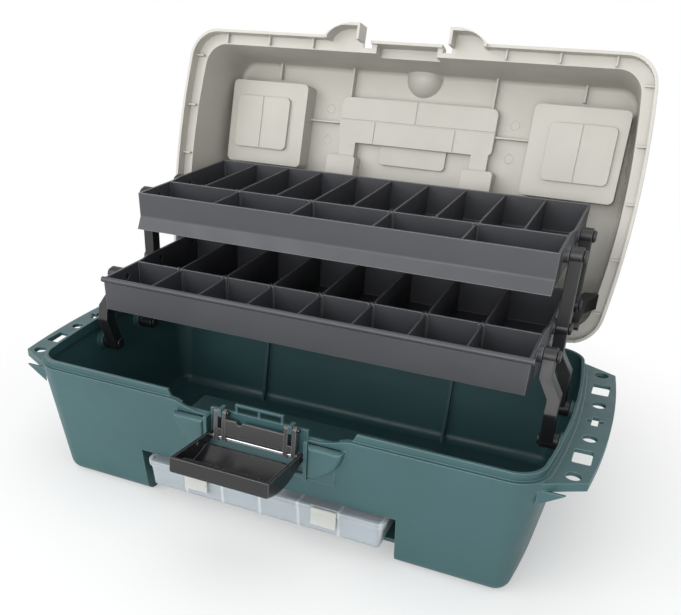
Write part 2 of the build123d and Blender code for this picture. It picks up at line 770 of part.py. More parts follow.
def make_lid():
    """The moulded lid: skirt, gussets, dome, wells, horns and knuckles."""
    t = lid_wall
    skirt_z = ledge_z - lid_overhang
    ledge = lip_top + lid_ledge_gap
    rim = outline(lid_half_len, lid_half_depth, end_bow, tub_corner + 2)
    rim_in = outline(lid_half_len - t, lid_half_depth - t, end_bow, tub_corner + 2 - t)
    base = outline(lid_half_len - dome_inset, lid_half_depth - dome_inset, end_bow, tub_corner - 2)
    base_in = outline(
        lid_half_len - dome_inset - t, lid_half_depth - dome_inset - t, end_bow, tub_corner - 2 - t
    )
    skirt = prism(rim, skirt_z, ledge + t) - prism(rim_in, skirt_z - 1, ledge)
    dome = Pos(0, 0, ledge) * extrude(base, lid_top - ledge, taper=dome_draft)
    dome = fillet(dome.faces().sort_by(Axis.Z)[-1].edges(), dome_round)
    hollow = Pos(0, 0, ledge - 1) * extrude(base_in, lid_top - t - ledge + 1, taper=dome_draft)
    hollow = fillet(hollow.faces().sort_by(Axis.Z)[-1].edges(), dome_round - t)
    body = skirt + dome - hollow

    # Recesses in the top
    recesses = []
    for side in (-1, 1):
        for x, y, under in ((well_x, well_y, well_under), (inner_well_x, inner_well_y, inner_well_under)):
            span = tuple(sorted((side * x[0], side * x[1])))
            recesses.append(well(span, y, under, 5.0))
        span = tuple(sorted((side * ear_x[0], side * ear_x[1])))
        recesses.append(well(span, ear_y, ear_under, 3.0))
        slot = tuple(sorted((side * (handle_x - 8.4), side * (handle_x + 8.4))))
        recesses.append(well(slot, (grip_y[1] - 2 * t, ear_y[0] + 2 * t), grip_under, 1.0))
    recesses.append(well((-grip_half, grip_half), grip_y, grip_under, 6.0))
    recesses.append(well((-tab_half, tab_half), (grip_y[0] + 8, tab_back), tab_under, 4.0))
    body = body + (join([shell for shell, _ in recesses]) & dome)
    body = body - join([room for _, room in recesses])
    scoop = Pos(0, 17.5 - lid_half_depth, lid_top + 1.5)
    body = body + (scoop * Sphere(18.5) & dome) - scoop * Sphere(16.2)

    # Groove across the underside of each side well
    mid_x = (inner_well_x[0] + inner_well_x[1]) / 2
    for side in (-1, 1):
        x = side * mid_x
        groove_z = (inner_well_under - 2, inner_well_under + 0.9)
        body = body - block(x - 0.9, x + 0.9, well_y[0] - 6, well_y[1] + 8, *groove_z)

    # Brick-like lines under the grip recess
    mid_y = (grip_y[0] + grip_y[1]) / 2
    groove = grip_under + 0.8
    body = body - block(-grip_half - 1, grip_half + 1, mid_y - 0.7, mid_y + 0.7, grip_under - 1, groove)
    for x, y0, y1 in ((0, grip_y[0], mid_y), (-41, mid_y, grip_y[1]), (41, mid_y, grip_y[1])):
        body = body - block(x - 0.7, x + 0.7, y0 - 1, y1 + 1, grip_under - 1, groove)

    # Gussets between skirt and dome, then stiffening ribs under the top
    webs = []
    for i in range(3):
        x = lid_half_len - 40.7 - 44.9 * i
        gusset_y = (1 - lid_half_depth, 10 - lid_half_depth)
        webs += both(block(x - 0.8, x + 0.8, *gusset_y, lip_top + 0.4, ledge + 0.5))
    for i in range(5):
        y = 23 - lid_half_depth + i * 46
        x = lid_half_len - end_bow * (y / lid_half_depth) ** 2
        webs += both(block(x - 10, x - 1, y - 0.8, y + 0.8, lip_top + 0.4, ledge + 0.5))
    front_y = 12 - lid_half_depth
    ribs = []
    for x, reach, deep in ((well_x[0] + 40, 17, 9), (grip_half - 7, 30, 11)):
        ribs += both(block(x - 0.9, x + 0.9, front_y, front_y + reach, lid_top - deep, lid_top - 1))
    ribs += both(block(grip_half - 1, well_x[0] + 1, mid_y + 2.5, mid_y + 4.3, lid_top - 10, lid_top - 1))
    body = body + join(webs) + (join(ribs) & dome)

    # Horns over the tub's cheeks
    front_gap = block(-horn_x[0], horn_x[0], -lid_half_depth - past, bay_back, skirt_z - 8, ledge + t + 0.5)
    body = body - front_gap
    horn_low = dip_z + 1.0
    shells = [prism(horn(0), horn_low, ledge + t)]
    rooms = [prism(horn(t), horn_low - 1, ledge)]
    ears = [join(both(s)) for s in shells]
    empty = [join(both(s)) for s in rooms]
    body = body + join(ears) - join(empty)

    # Catch for the lever, hollow from inside
    catch_face = -lid_half_depth + 1.2
    dome_face = -lid_half_depth + dome_inset
    catch = front_prism(
        [
            (-catch_half, ledge),
            (catch_half, ledge),
            (catch_half - 2, catch_top),
            (-catch_half + 2, catch_top),
        ],
        catch_face,
        dome_face + t / 2,
    )
    pocket_half = catch_half - 2 * t
    pocket = block(-pocket_half, pocket_half, catch_face + t, dome_face + 2 * t, ledge - 1, catch_top - t)
    sill = block(-catch_half, catch_half, catch_face, catch_face + t, lip_top + 0.4, ledge + 1)
    body = body + catch - pocket + sill

    # Rear skirt is short so that it clears the tub as the lid swings
    cut_x = lid_half_len - 25
    body = body - block(-cut_x, cut_x, lid_half_depth - 6, lid_half_depth + past, skirt_z - 5, hinge_z - 3)
    for x in (-hinge_x, hinge_x):
        reach = 1.5 * knuckle_len + 3 * side_gap + 0.4
        back = hinge_y - knuckle_r - 0.7
        window_y = (back, lid_half_depth + past)
        body = body - block(x - reach, x + reach, *window_y, skirt_z - past, ledge + t + 0.3)
        web = side_prism(
            [
                (hinge_y - 7, ledge + 0.2),
                (hinge_y - 7, ledge + t),
                (hinge_y + 1, ledge + t),
                (hinge_y + 4.2, hinge_z + 2.6),
                (hinge_y, hinge_z),
                (hinge_y - 4.4, hinge_z + 2.4),
            ],
            x - knuckle_len / 2,
            x + knuckle_len / 2,
        )
        body = body + web + rod(x - knuckle_len / 2, x + knuckle_len / 2, hinge_y, hinge_z, knuckle_r)
    body = body - rod(-hinge_x - 40, hinge_x + 40, hinge_y, hinge_z, hinge_pin_r + fit_gap)
    body = body - rod(-ear_x[1] - 1, ear_x[1] + 1, handle_pivot_y, handle_pivot_z, handle_pin_r + fit_gap)

    # Hinge ears for the two covers
    for side in (-1, 1):
        for x in (cover_x - 34, cover_x + 34):
            ear = rod(side * (x - 4), side * (x + 4), cover_hinge_y, cover_hinge_z, cover_knuckle_r)
            foot_y = (cover_hinge_y - 1, cover_hinge_y + 2.6)
            foot = block(side * (x - 4), side * (x + 4), *foot_y, lid_top - 1, cover_hinge_z)
            body = body + ear + foot
    return body - rod(-well_x[1] - 7.5, well_x[1] + 7.5, cover_hinge_y, cover_hinge_z, cover_pin_r + fit_gap)


# Covers over the side wells
cover_x = (well_x[0] + well_x[1]) / 2
cover_thick = 2.2
cover_pin_r = 1.2
cover_knuckle_r = 2.6
cover_hinge_y = well_y[1] + 5.4
cover_hinge_z = lid_top + cover_knuckle_r + 0.3


def make_cover():
    """A clear flap with a rim that drops into its well and a finger lip."""
    x0, x1 = well_x[0] - 0.5, well_x[1] - 1.5
    y0, y1 = well_y[0] - 1.5, well_y[1] + 1.5
    z0 = lid_top + side_gap
    top = soft_block(x0, x1, y0, y1, z0, z0 + cover_thick, 5)
    fit = lid_wall + 0.6
    rim = soft_block(well_x[0] + fit, well_x[1] - fit, well_y[0] + fit, well_y[1] - fit, z0 - 3, z0 + 1, 3)
    inset = fit + 1.6
    inside_x = (well_x[0] + inset, well_x[1] - inset)
    rim = rim - soft_block(*inside_x, well_y[0] + inset, well_y[1] - inset, z0 - 4, z0 + 2, 2)
    lip = soft_block(cover_x - 12, cover_x + 12, y0 - 4, y0 + 4, z0, z0 + cover_thick, 3)
    body = top + rim + lip
    arm_bar = block(cover_x - 29, cover_x + 29, y1 - 2, cover_hinge_y, z0, z0 + cover_thick)
    body = body + arm_bar + rod(cover_x - 29, cover_x + 29, cover_hinge_y, cover_hinge_z, cover_knuckle_r)
    return body - rod(cover_x - 60, cover_x + 60, cover_hinge_y, cover_hinge_z, cover_pin_r + fit_gap)


def make_handle():
    """Bail handle with a thick grip, lying in its recess."""
    arm_w = 8.0
    grip_low, grip_high = grip_under + lid_wall + 0.8, lid_top - 0.6
    y_grip = (grip_y[0] + lid_wall + 3, grip_y[0] + lid_wall + 20)
    grip = soft_block(-handle_x - arm_w / 2, handle_x + arm_w / 2, *y_grip, grip_low, grip_high, 6)
    grip = fillet(grip.edges().filter_by(Axis.Z, reverse=True), 3.2)
    arms = []
    for side in (-1, 1):
        x0, x1 = side * (handle_x - arm_w / 2), side * (handle_x + arm_w / 2)
        z0, z1 = handle_pivot_z - 2.8, handle_pivot_z + 4.0
        arm = block(x0, x1, y_grip[1] - 5, handle_pivot_y, z0, z1)
        arms.append(arm + rod(x0, x1, handle_pivot_y, handle_pivot_z, 4.6))
    body = grip + join(arms)
    return body - rod(-90, 90, handle_pivot_y, handle_pivot_z, handle_pin_r + fit_gap)


# Latch
def make_link():
    """Hinged frame: a plate between two channels, with knuckles round the rod."""
    plate_y = link_pin_y - 1.4
    plate_part = side_prism(
        [
            (link_pin_y - 0.6, link_pin_z - 4.5),
            (link_pin_y - 2.6, link_pin_z - 4.5),
            (latch_rod_y - 1.6, latch_rod_z + 3.0),
            (latch_rod_y + 0.6, latch_rod_z + 3.0),
        ],
        -24.4,
        24.4,
    )
    notch = Pos(-13, plate_y, link_pin_z - 4.5) * Rot(90, 0, 0) * Cylinder(2.6, 12)
    ribs = []
    for x0, x1 in ((24.2, 27.2), (30.8, 33.8)):
        rib = side_prism(
            [
                (link_pin_y + 2.4, link_pin_z),
                (link_pin_y - 2.8, link_pin_z),
                (latch_rod_y - 3.0, latch_rod_z),
                (latch_rod_y + 2.6, latch_rod_z),
            ],
            x0,
            x1,
        )
        eye = rod(x0, x1, link_pin_y, link_pin_z, 2.9)
        foot = rod(x0, x1, latch_rod_y, latch_rod_z, 3.0)
        ribs += both(rib + eye + foot)
    webs = both(block(26, 31.5, latch_rod_y - 1.6, latch_rod_y + 0.6, latch_rod_z + 2.6, latch_rod_z + 8))
    body = plate_part - notch
    body = body + join(ribs) + join(webs)
    body = body - rod(-60, 60, latch_rod_y, latch_rod_z, latch_rod_r + fit_gap)
    return body - rod(-60, 60, link_pin_y, link_pin_z, latch_pin_r + fit_gap)


def lever_profile(inset):
    """Side outline of the lever lying flat: u runs outwards, w upwards."""
    u1 = lever_len - inset
    low = -lever_belly + inset
    start = 6.0 + inset
    edges = [
        Line((0, start, lever_rise), (0, u1, lever_rise)),
        Line((0, u1, lever_rise), (0, u1, low + 4.2)),
        ThreePointArc((0, u1, low + 4.2), (0, lever_len * 0.52, low), (0, start, low + 6.2)),
        Line((0, start, low + 6.2), (0, start, lever_rise)),
    ]
    return make_face(edges)


def make_lever():
    """Dished lever, drawn flat and then tilted on its rod."""
    outer = Pos(-lever_half, 0, 0) * extrude(lever_profile(0), 2 * lever_half, dir=(1, 0, 0))
    belly = outer.edges().filter_by(lambda e: e.geom_type == GeomType.CIRCLE)
    outer = fillet(belly, 1.4)
    inner_len = 2 * (lever_half - lever_wall)
    room = Pos(-inner_len / 2, 0, 0) * extrude(lever_profile(lever_wall), inner_len, dir=(1, 0, 0))
    mouth_y = (3, lever_len - lever_wall)
    room = room + block(-inner_len / 2, inner_len / 2, *mouth_y, lever_rise - 1.2, lever_rise + 3)
    body = outer - room - block(-inner_len / 2, inner_len / 2, 0, 9, -4.5, lever_rise + 3)
    for x0, x1 in ((-hook_half, -2), (2, hook_half)):
        body = body + block(x0, x1, lever_len - hook_depth, lever_len - 1, lever_rise - 1.8, lever_rise)
    eyes = []
    for side in (-1, 1):
        x0, x1 = side * (lever_half - lever_wall), side * lever_half
        eye = rod(x0, x1, 0, 0, lever_eye_r)
        neck_side = [(0, lever_eye_r), (9, lever_rise), (9, -6.6), (0, -lever_eye_r)]
        neck = side_prism(neck_side, min(x0, x1), max(x0, x1))
        nub_x = side * (lever_half - lever_wall)
        nub = rod(nub_x - 0.9, nub_x + 0.9, 22, 0.6, 1.4)
        eyes.append(eye + neck + nub)
    body = body + join(eyes)
    body = body - rod(-60, 60, 0, 0, latch_rod_r + fit_gap)
    turned = Rot(lever_tilt, 0, 0) * body
    flipped = Rot(0, 0, 180) * turned
    return Pos(0, latch_rod_y, latch_rod_z) * flipped


# Organiser
def organiser_plan(inset):
    """Rounded rectangle of the organiser, front edge at its place."""
    centre = org_front + org_depth / 2
    size = (2 * (org_half_len - inset), org_depth - 2 * inset)
    return Pos(0, centre) * RectangleRounded(*size, max(org_corner - inset, 1.0))


def make_organiser_box():
    """Tapered box with a rim, a lengthwise wall and cross walls."""
    rim_in = 1.6
    height = org_rim_z - org_floor_z
    body = sunk(organiser_plan(rim_in), org_rim_z, height, org_draft)
    room = sunk(organiser_plan(rim_in + org_wall), org_rim_z + 0.1, height - org_wall, org_draft)
    rim = prism(organiser_plan(0.3), org_rim_z - 2.2, org_rim_z)
    body = body + rim - room
    centre = org_front + org_depth / 2
    inside = sunk(organiser_plan(rim_in + 0.4), org_rim_z, height - 0.5, org_draft)
    walls = [block(-org_half_len, org_half_len, centre - 0.6, centre + 0.6, org_floor_z + 1, org_rim_z - 0.4)]
    for x in cells(org_half_len - rim_in - org_wall, org_cells):
        wall_y = (org_front, org_front + org_depth)
        walls.append(block(x - 0.6, x + 0.6, *wall_y, org_floor_z + 1, org_rim_z - 0.4))
    return body + join([w & inside for w in walls])


def make_organiser_lid():
    """Flat lid with a raised border, resting on the rim."""
    z0 = org_rim_z + org_lid_gap
    body = prism(organiser_plan(0), z0, org_lid_top)
    top_room = prism(organiser_plan(3.6), org_lid_top - 1.2, org_lid_top + 1)
    under_room = prism(organiser_plan(4.2), z0 - 1, z0 + 0.8)
    notches = [
        block(x - clip_width / 2 - 0.4, x + clip_width / 2 + 0.4, org_front - 1, org_front + 1.9, z0 - 1, 60)
        for x in (-clip_x, clip_x)
    ]
    return body - top_room - under_room - join(notches)


def make_clip(x):
    """A snap clip hinged on the organiser lid's front edge."""
    half = clip_width / 2
    y = org_front
    profile = [
        (y + 1.0, org_lid_top - 0.2),
        (y - 0.4, org_lid_top + 0.4),
        (y - 1.9, org_lid_top - 0.8),
        (y - 1.9, org_rim_z - 6),
        (y - 1.1, org_rim_z - 12),
        (y - 0.1, org_rim_z - 12.4),
        (y - 0.3, org_rim_z - 4),
        (y - 0.3, org_lid_top - 2.4),
        (y + 1.0, org_lid_top - 1.6),
    ]
    return side_prism(profile, x - half, x + half)


def make_stay(lid):
    """A tapered leg from the lid's end wall down to the arms, trimmed to the wall."""
    root_z = lip_top + lid_ledge_gap
    wall_x = lid_half_len - dome_inset - lid_wall / 2
    side = side_prism(
        [
            (stay_foot[0] - 3, stay_foot[1] - 1),
            (stay_foot[0] + 1, stay_foot[1] - 1.6),
            (stay_foot[0] + 3.4, stay_foot[1] + 2),
            (stay_root_y + 5, root_z + 4),
            (stay_root_y + 5, root_z + 15),
            (stay_root_y - 6, root_z + 15),
            (stay_root_y - 6, root_z),
        ],
        stay_x[0],
        wall_x,
    )
    front = front_prism(
        [
            (stay_x[0], stay_foot[1] - 4),
            (stay_x[1], stay_foot[1] - 4),
            (stay_x[1], root_z - 9),
            (wall_x, root_z + 4),
            (wall_x, root_z + 16),
            (wall_x - 4, root_z + 16),
            (stay_x[0], root_z - 4),
        ],
        0,
        lid_half_depth,
    )
    return ((side & front) - lid).solids().sort_by(SortBy.VOLUME)[-1]


def swing(shape):
    """Open the lid's parts about the hinge."""
    return shape.rotate(Axis((0, hinge_y, hinge_z), (1, 0, 0)), -lid_open)


closed_lid = make_lid()
save("tub", [make_tub()])
save("lid", [swing(closed_lid)])
save("lid_hinge_pins", [
    rod(x - 1.5 * knuckle_len, x + 1.5 * knuckle_len, hinge_y, hinge_z, hinge_pin_r)
    for x in (-hinge_x, hinge_x)
])
right_cover = make_cover()
save("lid_cover_right", [swing(right_cover)])
save("lid_cover_left", [swing(mirror(right_cover, Plane.YZ))])
save("cover_hinge_pins", [
    swing(rod(side * (cover_x - 38), side * (cover_x + 38), cover_hinge_y, cover_hinge_z, cover_pin_r))
    for side in (-1, 1)
])
save("carry_handle", [swing(make_handle())])
save("handle_pins", [
    swing(rod(side * (ear_x[0] + 0.6), side * (ear_x[1] - 0.6), handle_pivot_y, handle_pivot_z, handle_pin_r))
    for side in (-1, 1)
])

save("lid_stays", [swing(s) for s in both(make_stay(closed_lid))])

save("lower_tray", [make_lower_tray()])
save("upper_tray", [make_upper_tray()])
save("lower_front_dividers", row_dividers(lower_front, lower_top, tray_floor_drop, True, lower_front_cells))
save("lower_rear_dividers", row_dividers(lower_front, lower_top, lower_deep, False, lower_rear_cells))
save("upper_front_dividers", row_dividers(upper_front, upper_top, tray_floor_drop, True, upper_front_cells))
save("upper_rear_dividers", row_dividers(upper_front, upper_top, tray_floor_drop, False, upper_rear_cells))

save("short_arms", both(make_short_arm()))
save("long_arms", both(make_long_arm()))
save("rear_arms", both(make_rear_arm()))
save("arm_base_pins", [p for y in (pivot_front_y, pivot_mid_y) for p in both(base_pin(y))])
save("lower_tray_pins", [
    p for y in (pivot_front_y, pivot_mid_y, pivot_rear_y) for p in both(tray_pin(lower_front, y, pivot_low_z))
])
save("upper_tray_pins", [
    p for y in (pivot_mid_y, pivot_rear_y) for p in both(tray_pin(upper_front, y, pivot_high_z))
])

save("latch_link", [make_link()])
save("latch_lever", [make_lever()])
save("latch_rod", [rod(-lever_half + 0.4, lever_half - 0.4, latch_rod_y, latch_rod_z, latch_rod_r)])
save("latch_pins", both(rod(22.8, 35.4, link_pin_y, link_pin_z, latch_pin_r)))

save("organiser_box", [make_organiser_box()])
save("organiser_lid", [make_organiser_lid()])
save("organiser_clip_left", [make_clip(-clip_x)])
save("organiser_clip_right", [make_clip(clip_x)])
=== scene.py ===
"""Looks for a moulded two-tray tackle box: finishes, rounded mouldings and fine fittings.

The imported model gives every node's place and size. Lengths are metres, except where a name ends in
_mm and in the places and sizes of the fine pieces, with the functions that take them, which are in
millimetres.
"""

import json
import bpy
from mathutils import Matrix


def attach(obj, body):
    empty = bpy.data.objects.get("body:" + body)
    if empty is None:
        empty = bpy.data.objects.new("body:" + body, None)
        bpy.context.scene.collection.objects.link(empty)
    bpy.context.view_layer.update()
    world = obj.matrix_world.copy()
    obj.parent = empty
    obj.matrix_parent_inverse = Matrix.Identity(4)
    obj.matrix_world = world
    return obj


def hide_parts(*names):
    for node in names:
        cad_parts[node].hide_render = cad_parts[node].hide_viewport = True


bl_info = {
    "name": "Two-Tray Tackle Box",
    "version": (1, 0, 0),
    "blender": (4, 5, 0),
    "location": "3D View > Sidebar > Tackle Box",
    "description": "Finishes and fine parts of a moulded tackle box",
    "category": "Add Mesh",
}

from math import cos, pi, radians, sin

import bmesh
import bpy
import numpy as np
from mathutils import Matrix, Vector

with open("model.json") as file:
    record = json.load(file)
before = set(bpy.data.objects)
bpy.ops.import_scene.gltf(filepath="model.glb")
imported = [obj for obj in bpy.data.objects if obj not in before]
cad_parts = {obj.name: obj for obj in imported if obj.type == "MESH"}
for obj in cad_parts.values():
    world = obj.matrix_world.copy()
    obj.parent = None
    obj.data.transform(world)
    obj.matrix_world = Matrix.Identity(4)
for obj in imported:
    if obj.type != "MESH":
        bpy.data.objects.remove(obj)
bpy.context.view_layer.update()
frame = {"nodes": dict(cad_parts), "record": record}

PHOTO_SIZE = (681, 615)  # pixels
MM = 0.001
WELD = 2e-6  # corners nearer than this are one corner, as in a CAD node's loose triangles
SURFACE_WELD = 1e-6

# Places and sizes of the fine pieces, in millimetres
LID_OPEN = 105.0  # degrees
HINGE = (119.6, 113.6)  # y and z of the lid's hinge line
ROOF_UNDER = 193.8  # inner face of the shut lid's roof
RING_PLACES = ((94.5, -65.0), (94.5, -34.5), (94.5, 60.0))  # from the lid's middle, mirrored
RING_RADIUS, RING_WIRE = 4.2, 0.16
TRAY_PINS = {  # height of each tray's pins, and how far back each pin lies
    "lower_tray_pins": (158.0, (-15.3, 42.4, 100.1)),
    "upper_tray_pins": (216.0, (42.4, 100.1)),
}
PIN_HEAD_X, PIN_HEAD_RADIUS, PIN_HEAD_RISE = 195.3, 4.3, 0.8
ORGANISER_PITCH = 33.7  # from one cell wall to the next
CLIP_X = {"organiser_clip_left": -56.0, "organiser_clip_right": 56.0}
CLIP_HALF = 10.5
CLIP_LINE = (  # y, z and half thickness along a clip, from its hinge edge to the finger lip
    (-111.9, 41.2, 0.2),
    (-112.2, 40.9, 0.35),
    (-112.55, 40.2, 0.65),
    (-112.7, 39.0, 0.7),
    (-112.7, 36.6, 0.7),
    (-112.35, 35.7, 0.45),
    (-112.35, 29.2, 0.45),
    (-112.65, 27.4, 0.45),
    (-113.1, 25.8, 0.4),
)

# Sockets of a colour Mix node, which Blender tells apart by number only
MIX_SHARE, MIX_FIRST, MIX_SECOND, MIX_COLOUR = 0, 6, 7, 2


def linear(code):
    """An sRGB hex colour as three linear values."""
    parts = np.array([int(code[i : i + 2], 16) for i in (1, 3, 5)]) / 255
    low = parts / 12.92
    high = ((parts + 0.055) / 1.055) ** 2.4
    return tuple(float(v) for v in np.where(parts <= 0.04045, low, high))


def per_metre(size_mm):
    """Texture scale that makes one pattern cell about size_mm wide."""
    return 1000.0 / size_mm


class TackleBoxFinish(bpy.types.PropertyGroup):
    """Colours of the mouldings."""

    tub_green: bpy.props.FloatVectorProperty(
        name="Tub green", description="Pigment of the tub", subtype="COLOR", default=linear("#335457")
    )
    lid_beige: bpy.props.FloatVectorProperty(
        name="Lid beige", description="Pigment of the lid", subtype="COLOR", default=linear("#bbb8b0")
    )
    tray_grey: bpy.props.FloatVectorProperty(
        name="Tray grey", description="Pigment of both trays", subtype="COLOR", default=linear("#3b3c40")
    )
    fitting_black: bpy.props.FloatVectorProperty(
        name="Fitting black",
        description="Pigment of the arms and the latch",
        subtype="COLOR",
        default=linear("#19191b"),
    )


class TackleBoxSizes(bpy.types.PropertyGroup):
    """Small sizes that the mould gives to every edge and face."""

    edge_round: bpy.props.FloatProperty(
        name="Edge rounding",
        description="Radius that the mould leaves on edges",
        default=0.45 * MM,
        unit="LENGTH",
    )
    shell_grain_mm: bpy.props.FloatProperty(
        name="Shell grain", description="Width of one grain of the etched mould, in mm", default=1.1
    )


# Materials


def add(tree, kind, values=None, links=None, **settings):
    """Adds one node with its settings, socket values and links."""
    node = tree.nodes.new(kind)
    for key, value in settings.items():
        setattr(node, key, value)
    for key, value in (values or {}).items():
        node.inputs[key].default_value = value
    for key, socket in (links or {}).items():
        tree.links.new(socket, node.inputs[key])
    return node


def new_material(name):
    """An empty material, its node tree and its shader."""
    material = bpy.data.materials.new(name)
    material.use_nodes = True
    tree = material.node_tree
    tree.nodes.clear()
    shader = add(tree, "ShaderNodeBsdfPrincipled")
    add(tree, "ShaderNodeOutputMaterial", links={"Surface": shader.outputs["BSDF"]})
    return material, tree, shader


def moulded(name, base, deep, edge_highlight_and_wear, rough, grain_mm, relief_mm, round_mm, blotch=0.5):
    """Moulded plastic: slow pigment clouds, edges painted paler as a highlight and partly as wear, fine
    etched grain and rubbed patches.
    """
    material, tree, shader = new_material(name)
    place = add(tree, "ShaderNodeTexCoord").outputs["Object"]
    clouds = add(tree, "ShaderNodeTexNoise", {"Scale": per_metre(70), "Detail": 3.0}, {"Vector": place})
    tone = add(
        tree,
        "ShaderNodeMapRange",
        {"From Min": 0.35, "From Max": 0.68, "To Min": 0.0, "To Max": blotch},
        {"Value": clouds.outputs["Fac"]},
    )
    body = add(tree, "ShaderNodeMix", data_type="RGBA")
    body.inputs[MIX_FIRST].default_value = (*base, 1)
    body.inputs[MIX_SECOND].default_value = (*deep, 1)
    tree.links.new(tone.outputs["Result"], body.inputs[MIX_SHARE])
    rounded = add(tree, "ShaderNodeBevel", {"Radius": round_mm * MM}, samples=6)
    flat = add(tree, "ShaderNodeNewGeometry").outputs["Normal"]
    same = add(tree, "ShaderNodeVectorMath", operation="DOT_PRODUCT")
    tree.links.new(rounded.outputs["Normal"], same.inputs[0])
    tree.links.new(flat, same.inputs[1])
    # painted edge highlight, partly wear: where the rounded normal turns from the flat one, the colour
    # is mixed towards the pale edge colour
    edge = add(
        tree,
        "ShaderNodeMapRange",
        {"From Min": 0.995, "From Max": 0.86, "To Min": 0.0, "To Max": 0.75},
        {"Value": same.outputs["Value"]},
    )
    paint = add(tree, "ShaderNodeMix", data_type="RGBA")
    tree.links.new(edge.outputs["Result"], paint.inputs[MIX_SHARE])
    tree.links.new(body.outputs[MIX_COLOUR], paint.inputs[MIX_FIRST])
    paint.inputs[MIX_SECOND].default_value = (*edge_highlight_and_wear, 1)
    tree.links.new(paint.outputs[MIX_COLOUR], shader.inputs["Base Color"])
    rub = add(tree, "ShaderNodeTexNoise", {"Scale": per_metre(18), "Detail": 5.0}, {"Vector": place})
    polish = add(
        tree,
        "ShaderNodeMapRange",
        {"From Min": 0.3, "From Max": 0.7, "To Min": rough - 0.05, "To Max": rough + 0.06},
        {"Value": rub.outputs["Fac"]},
    )
    tree.links.new(polish.outputs["Result"], shader.inputs["Roughness"])
    grain = add(
        tree,
        "ShaderNodeTexNoise",
        {"Scale": per_metre(grain_mm), "Detail": 2.0, "Roughness": 0.55},
        {"Vector": place},
    )
    bump = add(
        tree,
        "ShaderNodeBump",
        {"Strength": 0.6, "Distance": relief_mm * MM},
        {"Height": grain.outputs["Fac"], "Normal": rounded.outputs["Normal"]},
    )
    tree.links.new(bump.outputs["Normal"], shader.inputs["Normal"])
    shader.inputs["IOR"].default_value = 1.49
    return material


def green_polypropylene(colours, sizes):
    """Etched, moulded polypropylene: a satin sheen that breaks up on a fine pebble grain."""
    return moulded(
        "moulded_green_polypropylene",
        tuple(colours.tub_green),
        linear("#2c494c"),
        # pale edge colour: painted edge highlight, partly wear
        linear("#74898b"),
        rough=0.42,
        grain_mm=sizes.shell_grain_mm,
        relief_mm=0.05,
        round_mm=0.9,
    )


def beige_polypropylene(colours, sizes):
    """The same etched polypropylene in a warm light pigment that shows every shadow."""
    return moulded(
        "moulded_beige_polypropylene",
        tuple(colours.lid_beige),
        linear("#b1aea5"),
        # pale edge colour: painted edge highlight, partly wear
        linear("#cfccc4"),
        rough=0.46,
        grain_mm=sizes.shell_grain_mm,
        relief_mm=0.05,
        round_mm=0.9,
    )


def grey_tray_polypropylene(colours, sizes):
    """Charcoal polypropylene with a finer grain; its thin top edges get a painted pale highlight line,
    partly wear.
    """
    return moulded(
        "moulded_charcoal_polypropylene",
        tuple(colours.tray_grey),
        linear("#333437"),
        # pale edge colour: painted edge highlight, partly wear
        linear("#8b8c8e"),
        rough=0.44,
        grain_mm=0.9,
        relief_mm=0.04,
        round_mm=0.8,
    )


def black_nylon(colours):
    """Moulded nylon for the arms: dense black with a dull sheen."""
    return moulded(
        "moulded_black_nylon",
        tuple(colours.fitting_black),
        linear("#141416"),
        # pale edge colour: painted edge highlight, partly wear
        linear("#606164"),
        rough=0.42,
        grain_mm=1.4,
        relief_mm=0.03,
        round_mm=0.9,
    )


def black_abs(colours):
    """Polished ABS for the latch: black with sharp soft-box reflections."""
    return moulded(
        "polished_black_abs",
        tuple(colours.fitting_black),
        linear("#1c1b1c"),
        # pale edge colour: painted edge highlight, partly wear
        linear("#7c7d80"),
        rough=0.24,
        grain_mm=3.0,
        relief_mm=0.01,
        round_mm=0.8,
    )


def black_abs_painted_lit():
    """The same polished black, painted a warm dark grey as painted light, for the link plate that
    catches the light.
    """
    return moulded(
        "polished_black_abs_painted_lit",
        # painted light: the black plate's grey tones stand in for the light it catches
        linear("#4b4a4a"),
        linear("#413f3f"),
        # pale edge colour: painted edge highlight, partly wear
        linear("#8f8d8c"),
        rough=0.22,
        grain_mm=3.0,
        relief_mm=0.01,
        round_mm=0.8,
    )


def drawn_steel():
    """Drawn steel wire: bright, with faint lengthwise lines."""
    material, tree, shader = new_material("drawn_steel_wire")
    shader.inputs["Base Color"].default_value = (*linear("#b9bbbe"), 1)
    shader.inputs["Metallic"].default_value = 1.0
    place = add(tree, "ShaderNodeTexCoord").outputs["Object"]
    squeeze = add(tree, "ShaderNodeMapping", {"Scale": (0.05, 1.0, 1.0)}, {"Vector": place})
    lines = add(
        tree,
        "ShaderNodeTexNoise",
        {"Scale": per_metre(0.4), "Detail": 2.0},
        {"Vector": squeeze.outputs["Vector"]},
    )
    polish = add(
        tree, "ShaderNodeMapRange", {"To Min": 0.2, "To Max": 0.38}, {"Value": lines.outputs["Fac"]}
    )
    tree.links.new(polish.outputs["Result"], shader.inputs["Roughness"])
    return material


def blackened_steel():
    """Oil-blackened steel pins: dark, with a tight bright glint."""
    material, tree, shader = new_material("blackened_steel")
    place = add(tree, "ShaderNodeTexCoord").outputs["Object"]
    film = add(tree, "ShaderNodeTexNoise", {"Scale": per_metre(2.5), "Detail": 3.0}, {"Vector": place})
    polish = add(
        tree, "ShaderNodeMapRange", {"To Min": 0.22, "To Max": 0.4}, {"Value": film.outputs["Fac"]}
    )
    tree.links.new(polish.outputs["Result"], shader.inputs["Roughness"])
    shader.inputs["Base Color"].default_value = (*linear("#4c4d50"), 1)
    shader.inputs["Metallic"].default_value = 1.0
    return material


